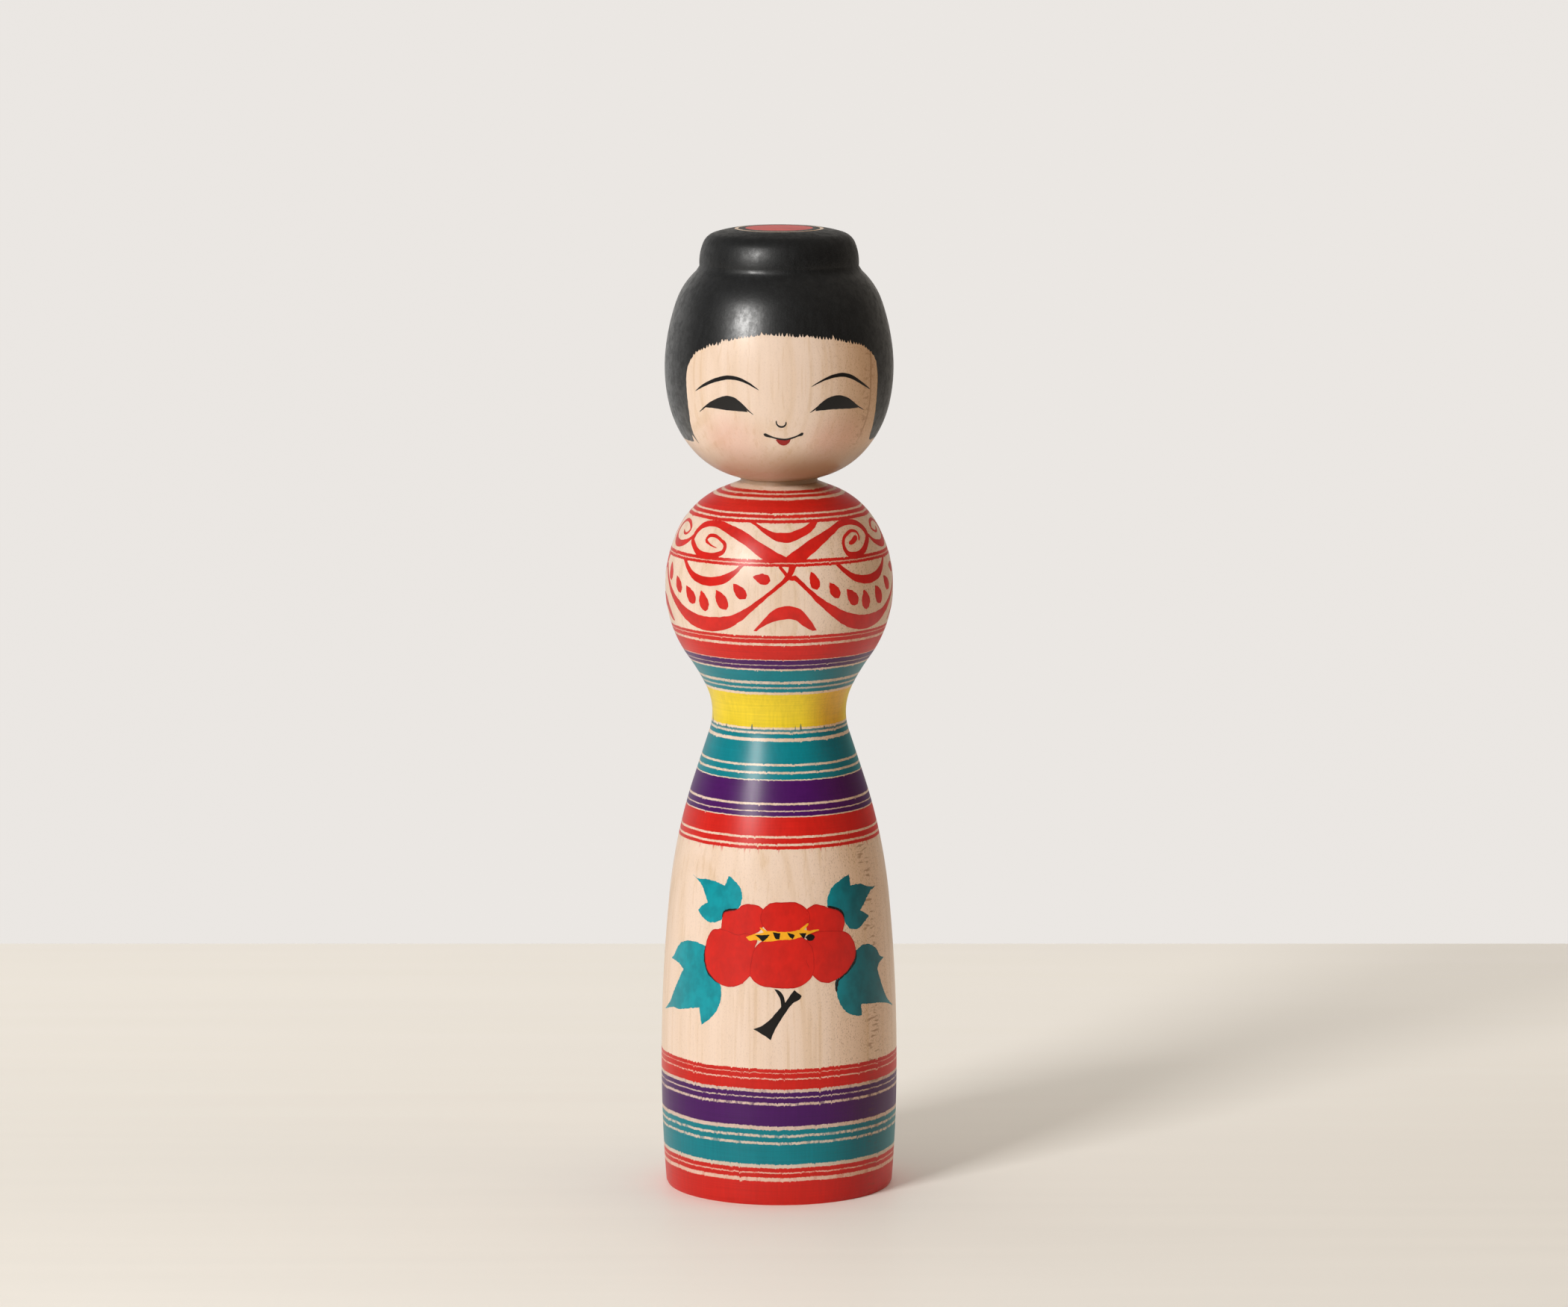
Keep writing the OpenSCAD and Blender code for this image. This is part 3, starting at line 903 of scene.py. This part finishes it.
class DOLL_OT_paint_face(bpy.types.Operator):
    """Paint the brows, eyes, nose and mouth"""
    bl_idname = "doll.paint_face"
    bl_label = "Paint the face"

    def execute(self, context):
        sizes, paints = context.scene.doll_sizes, context.scene.doll_paints
        outline = Outline(head_line(sizes))
        ink = brush_paint("face_ink", paints, paints.ink)
        for name, (points, widths) in BROWS.items():
            brow = Painting(outline, sizes.lift)
            brow.line(points, widths)
            brow.finish(name, ink, "head")
        for name, (lid, lash) in EYES.items():
            eye = Painting(outline, sizes.lift)
            eye.patch(unsteady(loop_through(lid, 0.25), 0.06), step=1)
            eye.line(lash, [0.12, 0.4, 0.5] + [0.5] * (len(lash) - 5) + [0.4, 0.12], level=1, step=0.4)
            eye.finish(name, ink, "head")
        nose = Painting(outline, sizes.lift)
        nose.line([(-0.75, 197.2), (-0.65, 196.3), (0, 195.65), (1.1, 195.6), (1.75, 196.2), (1.8, 196.9)],
                  [0.3, 0.36, 0.44, 0.44, 0.38, 0.28], step=0.3, wobble=0.03)
        nose.finish("nose", ink, "head")
        mouth = Painting(outline, sizes.lift)
        mouth.line([(-4.2, 193.7), (-3.6, 193.4), (-2, 192.9), (0, 192.4), (1.5, 192.25), (3.5, 192.6),
                    (5.2, 193.2), (6.2, 193.6), (6.6, 193.9)],
                   [0.65, 0.85, 0.4, 0.42, 0.46, 0.42, 0.4, 0.85, 0.6], level=1, step=0.3, wobble=0.03)
        mouth.finish("mouth", ink, "head")
        lip = Painting(outline, sizes.lift)
        lip.between([(-0.9, 192.2), (0.2, 192.35), (1.4, 192.25), (2.4, 192.3), (3.3, 192.45)],
                    [(-0.9, 192.1), (0, 191.1), (1, 190.7), (2, 190.8), (2.8, 191.4), (3.3, 192.4)],
                    step=0.3, wobble=0.03)
        lip.finish("lip", brush_paint("lip_red", paints, paints.lip), "head")
        return {"FINISHED"}


class DOLL_OT_paint_scrolls(bpy.types.Operator):
    """Paint the upper frieze: crossed scrolls with a curl at each side"""
    bl_idname = "doll.paint_scrolls"
    bl_label = "Paint the scrolls"

    def execute(self, context):
        sizes, paints = context.scene.doll_sizes, context.scene.doll_paints
        red = brush_paint("frieze_red", paints, paints.red, uneven=0.5)
        scroll = Painting(Outline(body_line(sizes)), sizes.lift)
        scroll.between(
            [(3.2, 162.6), (2, 163.2), (0, 164.1), (-2, 165.1), (-4, 166.1), (-6, 167), (-8, 168.1),
             (-12, 169.6), (-16, 170.5), (-20, 171.1), (-24, 170.9), (-27, 170), (-28.6, 168.2),
             (-29, 166.6)],
            [(-2.4, 161.7), (-5, 163.1), (-8, 165), (-10, 166.1), (-12, 166.9), (-16, 168.4), (-20, 169.5),
             (-24, 169.4), (-26.4, 168.5), (-27.3, 167.4), (-27.6, 166.4)], level=1)
        scroll.line([(-28.3, 167), (-28.2, 165.9), (-27, 164.9), (-24, 163.2), (-21, 162.7),
                     (-17.6, 163.2), (-15.6, 164.3), (-15.5, 165.5), (-17.4, 166.8), (-20, 167.6),
                     (-22, 167.3), (-22.5, 166.5), (-21, 165.6), (-19, 165), (-17.9, 164.8)],
                    [1.3, 1.3, 1.3, 1.5, 1.7, 1.3, 1.1, 1.0, 0.7, 0.8, 0.9, 0.8, 0.45, 0.3, 0.15], level=2)
        scroll.between(
            [(0.4, 162), (2, 163.4), (4, 164.7), (6, 165.8), (8, 166.9), (10, 167.7), (13, 168.8),
             (16, 169.8), (20, 171), (24, 171.2), (28, 170.6), (30, 169.4), (30.9, 168), (30.6, 166.8)],
            [(6.6, 162), (8, 163.3), (10, 164.5), (12, 165.8), (16, 167.9), (20, 169.6), (24, 169.9),
             (27.5, 169.1), (28.9, 168), (29.2, 167)], level=2)
        scroll.line([(30.1, 168.2), (29.8, 166.8), (28, 165.1), (25.5, 163.5), (22, 162.8), (19.6, 163.5),
                     (18.9, 165), (19.5, 166.8), (21.5, 168), (24, 168.5), (25.7, 167.9), (25.8, 167),
                     (25, 166)],
                    [1.4, 1.4, 1.4, 1.5, 1.6, 1.3, 1.0, 0.8, 0.7, 0.75, 0.7, 0.6, 0.4], level=3)
        scroll.line([(20.9, 165.6), (22.5, 166), (24.2, 166.8), (25, 167.1)], [0.7, 1.2, 1.3, 0.5])
        scroll.between([(-9.4, 171.3), (-7.2, 170.4), (-5.5, 169.4), (-3, 168.1), (-1, 167.1), (1, 166.7),
                        (3, 166.7), (5, 167.3), (7, 168), (9, 168.8), (11, 170), (12.6, 171.3)],
                       [(-7.6, 171.3), (-5.5, 170.4), (-3.5, 169.7), (-1.5, 169.1), (0, 169), (3, 169),
                        (5, 169.5), (7, 170), (8.5, 170.6), (10.2, 171.3)])
        scroll.line([(-28.4, 167), (-30, 165.8), (-33, 164.7), (-36, 164.4), (-39, 165), (-41, 166.5),
                     (-41, 168), (-39, 169.6), (-36, 169.9), (-33, 169.2), (-31.6, 168.2), (-32.5, 167.2),
                     (-34.5, 167), (-36, 167.7)],
                    [0.8, 1.0, 1.6, 1.8, 1.7, 1.3, 1.0, 0.8, 0.7, 0.7, 0.7, 0.6, 0.6, 0.3], level=3)
        scroll.line([(30.4, 167.2), (32, 165.6), (35, 164.5), (38, 164.2), (41, 164.9), (43, 166.4),
                     (43.2, 168), (41.2, 169.5), (38.4, 169.9), (35.6, 169.3), (34.4, 168.3),
                     (35.6, 167.4), (38, 167.3), (39.4, 168.2)],
                    [0.8, 1.0, 1.6, 1.8, 1.7, 1.3, 1.0, 0.8, 0.7, 0.7, 0.7, 0.6, 0.6, 0.3], level=4)
        copy_round(scroll.finish("scrolls_1", red, "body"), 2, "body")
        return {"FINISHED"}


class DOLL_OT_paint_garlands(bpy.types.Operator):
    """Paint the lower frieze: garlands with crescents over them, drops on them and arches between them"""
    bl_idname = "doll.paint_garlands"
    bl_label = "Paint the garlands"

    def execute(self, context):
        sizes = context.scene.doll_sizes
        red = bpy.data.materials["frieze_red"]
        garland = Painting(Outline(body_line(sizes)), sizes.lift)
        garland.between(
            [(2.7, 161.5), (2.2, 159.9), (1.4, 158.5), (0.6, 157.6), (-0.8, 156.4), (-4, 153.8), (-8, 150.9),
             (-12, 148.8), (-16, 148), (-22, 148), (-27, 149.2), (-31, 151.2), (-34, 153), (-36.5, 155),
             (-38.8, 157.2), (-40.6, 158.9)],
            [(4.4, 161.5), (3.9, 159.9), (3, 158.4), (2, 157.4), (0.8, 156.4), (-2.5, 153.8), (-6.5, 150.2),
             (-10, 147.2), (-14, 145.1), (-18, 144.2), (-23, 144.4), (-28, 146.2), (-32, 149.2), (-35, 151.8),
             (-37.7, 154.6), (-40, 156.9), (-42.2, 158.6)], level=1, wobble=0.16)
        garland.line([(-0.1, 161.3), (1.1, 159.9), (2.6, 158.3), (4, 157.9)], [0.8, 0.8, 1.0, 0.9])
        garland.between([(-29.6, 161), (-27, 158.5), (-24, 156.5), (-21, 155.7), (-17, 155.7), (-14, 156.6),
                         (-11.5, 158.5), (-9.3, 161)],
                        [(-28.2, 161), (-25, 158.8), (-22, 157.9), (-18, 157.8), (-14, 158.8), (-11.6, 160.1),
                         (-10.4, 161)])
        garland.between([(-6.6, 145), (-4, 147.8), (-1.5, 150.3), (0.5, 151.2), (3, 151.3), (5, 150.7),
                         (7.5, 148.2), (9.8, 145)],
                        [(-5.9, 144.9), (-3, 146.8), (0, 147.8), (4, 147.8), (6.5, 146), (8.6, 144.9)])
        for x, z, lean, size in ((-35.8, 157.2, 0.3, 1.1), (-30.4, 154.6, 0.55, 1.1),
                                 (-25, 152.6, 0.7, 1.25), (-20.4, 151.5, 0.25, 1.25),
                                 (-14.9, 152.2, 0.55, 1.3), (-9.9, 154.6, 0.75, 1.15),
                                 (-4.2, 158, 1.35, 1.1)):
            up, over = math.cos(lean), -math.sin(lean)
            garland.line([(x + over * t * size, z + up * t * size) for t in (2.3, 1.3, 0.2, -1, -1.9)],
                         [0.3 * size, 1.5 * size, 2.4 * size, 2.3 * size, 1.2 * size], wobble=0.2)
        copy_round(garland.finish("garlands_1", red, "body"), 4, "body")
        return {"FINISHED"}


class DOLL_OT_paint_flower(bpy.types.Operator):
    """Paint the flower: six petals, stamens and the dark edges under the petals"""
    bl_idname = "doll.paint_flower"
    bl_label = "Paint the flower"

    def execute(self, context):
        sizes, paints = context.scene.doll_sizes, context.scene.doll_paints
        outline = Outline(body_line(sizes))
        ink = brush_paint("flower_ink", paints, paints.ink)
        edges = Painting(outline, sizes.lift)
        for points in ([(-19.8, 65.2), (-19.9, 62.5), (-19.4, 60.2), (-18.2, 58.1), (-16.2, 56.7), (-15, 56)],
                       [(-15.2, 72.6), (-14.6, 73.8), (-13, 74.5), (-11, 75)],
                       [(12.8, 75.6), (14.2, 75), (15.8, 74.4), (17, 73.5), (17.7, 72)],
                       [(20.9, 63.8), (20.5, 61.6), (19, 59.8), (17, 58.3), (15.2, 57.2), (14.6, 55.8),
                        (14.6, 54)]):
            edges.line(points, [0.4] + [0.9] * (len(points) - 2) + [0.4], wobble=0.2)
        edges.finish("petal_edges", ink, "body")
        petals = Painting(outline, sizes.lift)
        for level, loop in enumerate(PETALS):
            petals.patch(feathered(loop, 0.22, 0.16), level=3 + level)
        petals.finish("petals", brush_paint("petal_red", paints, paints.red, uneven=0.4), "body")
        rims = Painting(outline, sizes.lift)
        for level, loop in enumerate(PETALS):
            rims.line([point[:2] for point in loop + loop[:1]], 0.22, level=3.4 + level, wobble=0.12)
        rims.finish("petal_rims", brush_paint("rim_red", paints, paints.rim, uneven=0.5), "body")
        stamens = Painting(outline, sizes.lift)
        stamens.patch(unsteady(loop_through(STAMENS, 0.3), 0.12, 0.6), level=11, step=0.8)
        stamens.line([(5.3, 69.9), (6.3, 70.6), (7.5, 71.7)], [0.8, 0.7, 0.4], level=12, step=0.3)
        stamens.line([(7.2, 69.3), (8.8, 69.7), (10.3, 69.9)], [0.7, 0.6, 0.3], level=12, step=0.3)
        stamens.line([(-3.2, 69.6), (-4, 70.1), (-4.9, 70.7)], [0.7, 0.6, 0.3], level=12, step=0.3)
        stamens.finish("stamens", brush_paint("stamen_yellow", paints, paints.stamen, uneven=0.4),
                       "body")
        dots = Painting(outline, sizes.lift)
        for loop in ([(-6, 68.8, 1), (-2.3, 69, 1), (-3.3, 67.9), (-4.2, 67.2, 1), (-4.9, 68)],
                     [(-1.6, 69.6, 1), (0.3, 69.4, 1), (0.1, 67.9, 1), (-0.7, 67.9)],
                     [(2, 69.6, 1), (3.9, 68.7), (3.4, 67.9, 1), (2.6, 68.5)],
                     [(5, 69.3, 1), (6.9, 69.3, 1), (6.3, 67.9, 1), (5.6, 68.6)],
                     [(6.6, 68.2, 1), (7.6, 69), (9, 68.4), (8.6, 67.5), (7.4, 67.4)]):
            dots.patch(unsteady(loop_through(loop, 0.25), 0.1, 0.5), level=14, step=0.8)
        dots.finish("stamen_dots", ink, "body")
        return {"FINISHED"}


class DOLL_OT_paint_leaves(bpy.types.Operator):
    """Paint the four leaves and the cut twig of the flower"""
    bl_idname = "doll.paint_leaves"
    bl_label = "Paint the leaves"

    def execute(self, context):
        sizes, paints = context.scene.doll_sizes, context.scene.doll_paints
        outline = Outline(body_line(sizes))
        leaves = Painting(outline, sizes.lift)
        for loop in LEAVES:
            leaves.patch(feathered(loop, 0.14, 0.14))
        # the leaves get extra painted shade towards the right
        leaves.finish("leaves", brush_paint("leaf_teal", paints, paints.leaf, uneven=0.75, side_shade=0.4), "body")
        twig = Painting(outline, sizes.lift)
        twig.patch(unsteady(loop_through(TWIG, 0.3), 0.08))
        twig.finish("twig", bpy.data.materials["flower_ink"], "body")
        return {"FINISHED"}


PETALS = (
    [(-15.1, 72.4), (-14.6, 73.7), (-13, 74.3), (-11, 74.8), (-9.5, 76), (-7.5, 76.3), (-5, 75.8), (-4, 75),
     (-3.6, 72), (-4.5, 70.5), (-7.5, 68.5), (-12, 67), (-15, 68), (-15.2, 70.5)],
    [(7.2, 75.1), (9, 76.1), (11, 75.9), (13.5, 74.9), (15.6, 74.3), (17.1, 73), (17.6, 71.4), (17.1, 69.6),
     (15, 67), (10, 67), (7.4, 69.5)],
    [(-4.2, 75.1), (-2.4, 76.6), (1, 76.9), (4, 76.9), (6, 76.1), (7.4, 74.7), (7.8, 72.5), (6.6, 70.8),
     (4, 69.6), (1, 69.4), (-2.5, 69.7), (-4.1, 71.3), (-4.7, 73.2)],
    [(-16, 69.6), (-18, 69), (-19, 67.5), (-19.8, 64.5), (-19.7, 61.5), (-18.8, 59), (-17, 57.2), (-15, 56),
     (-12, 55.6), (-9.5, 56.5), (-8, 57.8), (-7, 59), (-5.6, 62), (-6.2, 65.6), (-5.6, 67.6), (-8, 69),
     (-11, 68.6), (-13.5, 69.4)],
    [(8.2, 58.9), (10, 57.2), (12, 56.6), (14.5, 57.2), (17.5, 58.8), (19.5, 60.8), (20.7, 63.3),
     (20.4, 65.4), (19.2, 67.5), (17.5, 68.7), (15.5, 69.1), (12, 69.4), (9, 69.2), (7, 67.5), (6.6, 63)],
    [(-7.2, 58.7), (-6, 57.3), (-4, 56.2), (-2, 56), (1.5, 55.7), (4, 55.8), (6.5, 56.9), (8.2, 58.7),
     (8.7, 62), (8, 66), (6.2, 67.9), (3, 68.5), (0, 68.4), (-3.6, 67.7), (-5.9, 65.6), (-6.9, 62.2)])
STAMENS = [(-8.4, 68.2, 1), (-6.6, 69), (-4.8, 69.3), (-2.8, 69.9), (0.2, 69.7), (3.2, 69.8), (5.6, 70.2),
           (7.4, 69.9), (9, 69.4, 1), (7.4, 68.9), (5.4, 68.3), (3.2, 67.8), (0.6, 67.7), (-1.8, 67.4),
           (-3.8, 67.3), (-6, 67.6), (-7.6, 67.4)]
LEAVES = (
    [(-26.8, 81.9, 1), (-24, 81.2), (-21.5, 81.5), (-18, 81.2), (-14.9, 80.5, 1), (-14, 83, 1), (-12, 81.8),
     (-10.3, 80), (-9.8, 78), (-10.3, 75.8), (-11.5, 74.4), (-13.5, 73), (-15.5, 72), (-17, 71.3), (-19, 71),
     (-21.5, 72), (-23.2, 73.7, 1), (-21.5, 75), (-20, 75.8, 1), (-21, 77.5), (-22.8, 80), (-24.2, 80.8)],
    [(20.3, 82.8, 1), (17.5, 81.8), (14.5, 80), (13, 77.5), (12.9, 75.4), (15, 73.8), (16.8, 72.6), (18, 71),
     (19, 69.7), (22, 69), (24, 70), (26.5, 71.6, 1), (24.5, 72.8), (23.3, 73.5, 1), (25, 75), (27.8, 77.5),
     (31, 78.4, 1), (27.5, 78.8), (24, 80), (20.4, 80, 1)],
    [(-19.3, 64.4), (-22.5, 65.4), (-26, 65.4), (-29, 64.6), (-31.5, 62.5), (-32.7, 60.8), (-34.4, 59.6, 1),
     (-32, 59.5), (-29, 58.8), (-27.7, 58, 1), (-30, 54.5), (-32, 51.5), (-33.9, 48.8), (-37.7, 46, 1),
     (-33, 47.4), (-28, 47.8), (-24, 48.7), (-21.2, 49.3, 1), (-20.8, 47.2), (-20.4, 45, 1), (-18, 46.8),
     (-16, 49), (-14.8, 52), (-14.8, 54.5), (-15.4, 57), (-17.4, 59.4), (-18.8, 62)],
    [(20, 63), (21.5, 64), (23.5, 64.8), (26.5, 64.3), (29, 62.8), (30.5, 60.9), (32.4, 60.2, 1), (30, 59.2),
     (28.8, 58, 1), (30, 55), (31.5, 52), (33.5, 49.5), (37.4, 47, 1), (32, 48.7), (27, 49.5), (22, 50, 1),
     (22.1, 47.2, 1), (20.5, 47.3), (17.5, 48.5), (15.5, 51), (14.6, 54), (14.8, 57), (16.6, 59.4),
     (19, 61.2)])
TWIG = [(3.7, 55.2, 1), (5.5, 53.6, 1), (5.2, 53), (3.5, 52), (1.5, 49.5), (0, 47), (-1.2, 44.8),
        (-2, 42.6, 1), (-4, 44), (-6.3, 45.3, 1), (-4.5, 46), (-2.5, 47.5), (-0.5, 49.8), (0.5, 51, 1),
        (0.2, 53), (-1.2, 55.5, 1), (-0.2, 55.2), (1, 53.8), (1.5, 52, 1), (2.5, 53.6)]


# ---------------------------------------------------------------- studio

def table_with_painted_glow(name, tint, rough, streaks):
    """Pale table top with the faintest variation, and a painted glow of light that grows towards its far edge
    """
    board = Board(name)
    where = board.place()
    soft = board.cloud(where, streaks, 3.0, 0.5)
    colour = board.dim(rgba(tint), 0.975 + soft * 0.05)
    # painted light: the table top glows more towards its far edge, standing in for light that the lamps do
    # not bring there
    far = board.node("ShaderNodeSeparateXYZ", None, {0: where}).out(1).rise(-60, 290)
    board.set({"Base Color": colour, "Roughness": rough + soft * 0.1,
               "Emission Color": board.dim(colour, far * 0.11), "Emission Strength": 1.0})
    return board.material


class DOLL_OT_set_stage(bpy.types.Operator):
    """Set up the pale table, the backdrop, the soft lights and the camera"""
    bl_idname = "doll.set_stage"
    bl_label = "Set the stage"

    def execute(self, context):
        look = context.scene.studio_look
        low, high = CAD_BOX
        tall = high.z - low.z
        middle = Vector((0, 0, low.z + tall * 0.5))
        start_fresh()
        bpy.ops.mesh.primitive_cube_add(size=1, location=(0, -0.195, low.z - 0.02))
        floor = context.object
        floor.name = "floor"
        bpy.ops.transform.resize(value=(2.6, 1.01, 0.04))
        bpy.ops.object.transform_apply(location=True, rotation=False, scale=True)
        edge = floor.modifiers.new("Edge", "BEVEL")
        edge.width, edge.segments = 0.002, 3
        bpy.ops.object.modifier_apply(modifier=edge.name)
        floor.data.materials.append(table_with_painted_glow("table_top", look.floor, 0.42, (0.004, 0.09, 0.02)))
        start_fresh()
        bpy.ops.mesh.primitive_uv_sphere_add(segments=48, ring_count=24, radius=6)
        dome = context.object
        dome.name = "backdrop"
        bpy.ops.object.mode_set(mode="EDIT")
        bpy.ops.mesh.select_all(action="SELECT")
        bpy.ops.mesh.flip_normals()
        bpy.ops.object.mode_set(mode="OBJECT")
        bpy.ops.object.shade_smooth()
        board = Board("pale_wall")
        soft = board.cloud(board.place(), (0.0004, 0.0004, 0.0004), 2.0)
        wall = board.dim(rgba(look.backdrop), 0.98 + soft * 0.04)
        board.set({"Base Color": (0, 0, 0, 1), "Roughness": 1.0, "Specular IOR Level": 0.0,
                   "Emission Color": wall, "Emission Strength": 1.0})
        dome.data.materials.append(board.material)
        for way in ("diffuse", "glossy", "shadow", "transmission", "volume_scatter"):
            setattr(dome, f"visible_{way}", False)

        world = context.scene.world = bpy.data.worlds.new("studio")
        board = Board(world)
        way = board.node("ShaderNodeTexCoord", out="Generated")
        split = board.node("ShaderNodeSeparateXYZ", None, {0: way})
        over, behind = split.out(2).rise(0.1, 0.6), split.out(1).rise(-0.05, 0.6)
        glow = 0.05 + over * 0.12 + behind * (1 - over) * (0.5 - split.rise(-0.1, 0.6) * 0.35)
        tint = board.mix(split.rise(-0.6, 0.8), (1, 0.985, 0.96, 1), (1, 0.9, 0.78, 1))
        board.set({"Color": tint, "Strength": glow * look.surround})

        for name, azimuth, elevation, far, size, power, tint, mirrored in (
                ("key", -38, 27, 1.6, look.key_size, look.key_power, (1, 0.985, 0.96), True),
                ("ceiling", 180, 62, 1.7, 4.0, look.sky_power, (1, 0.94, 0.84), False),
                ("warm_side", 78, 14, 1.2, 0.8, look.warm_power, (1, 0.72, 0.5), False)):
            turn, lift = math.radians(azimuth), math.radians(elevation)
            away = Vector((math.sin(turn) * math.cos(lift), -math.cos(turn) * math.cos(lift), math.sin(lift)))
            lamp = bpy.data.lights.new(name, "AREA")
            lamp.shape, lamp.size, lamp.energy, lamp.color = "SQUARE", size, power, tint
            light = bpy.data.objects.new(name, lamp)
            context.scene.collection.objects.link(light)
            light.location = middle + away * far
            light.visible_glossy = mirrored
            light.rotation_euler = away.to_track_quat("Z", "Y").to_euler()

        lens = bpy.data.cameras.new("view")
        lens.lens, lens.sensor_width, lens.shift_x = 149.86, 36, 0.0031
        lens.clip_start, lens.clip_end = 0.05, 50
        camera = bpy.data.objects.new("view", lens)
        context.scene.collection.objects.link(camera)
        camera.location = (0, low.z - 6.68668 * tall, 1.57496 * tall)
        camera.rotation_euler = (math.radians(90 - 8.648), 0, 0)
        context.scene.camera = camera
        context.scene.view_settings.view_transform = "Standard"
        return {"FINISHED"}


# ---------------------------------------------------------------- add-on

class DOLL_PT_workshop(bpy.types.Panel):
    """Steps that build the doll, in order"""
    bl_label = "Turned Doll"
    bl_idname = "DOLL_PT_workshop"
    bl_space_type = "VIEW_3D"
    bl_region_type = "UI"
    bl_category = "Doll"

    def draw(self, context):
        for step in STEPS:
            self.layout.operator(step.bl_idname)
        for group in (context.scene.doll_sizes, context.scene.doll_paints, context.scene.studio_look):
            column = self.layout.column(heading=group.bl_rna.name)
            for name in group.__annotations__:
                column.prop(group, name)


STEPS = (DOLL_OT_turn_body, DOLL_OT_turn_head, DOLL_OT_paint_hair, DOLL_OT_paint_face, DOLL_OT_paint_scrolls,
         DOLL_OT_paint_garlands, DOLL_OT_paint_flower, DOLL_OT_paint_leaves, DOLL_OT_set_stage)
CLASSES = (DollSizes, DollPaints, StudioLook, *STEPS, DOLL_PT_workshop)


def register():
    for item in CLASSES:
        bpy.utils.register_class(item)
    bpy.types.Scene.doll_sizes = bpy.props.PointerProperty(type=DollSizes)
    bpy.types.Scene.doll_paints = bpy.props.PointerProperty(type=DollPaints)
    bpy.types.Scene.studio_look = bpy.props.PointerProperty(type=StudioLook)


def unregister():
    del bpy.types.Scene.doll_sizes, bpy.types.Scene.doll_paints, bpy.types.Scene.studio_look
    for item in reversed(CLASSES):
        bpy.utils.unregister_class(item)


def main():
    register()
    for step in STEPS:
        group, name = step.bl_idname.split(".")
        getattr(getattr(bpy.ops, group), name)()


if __name__ == "__main__":
    main()
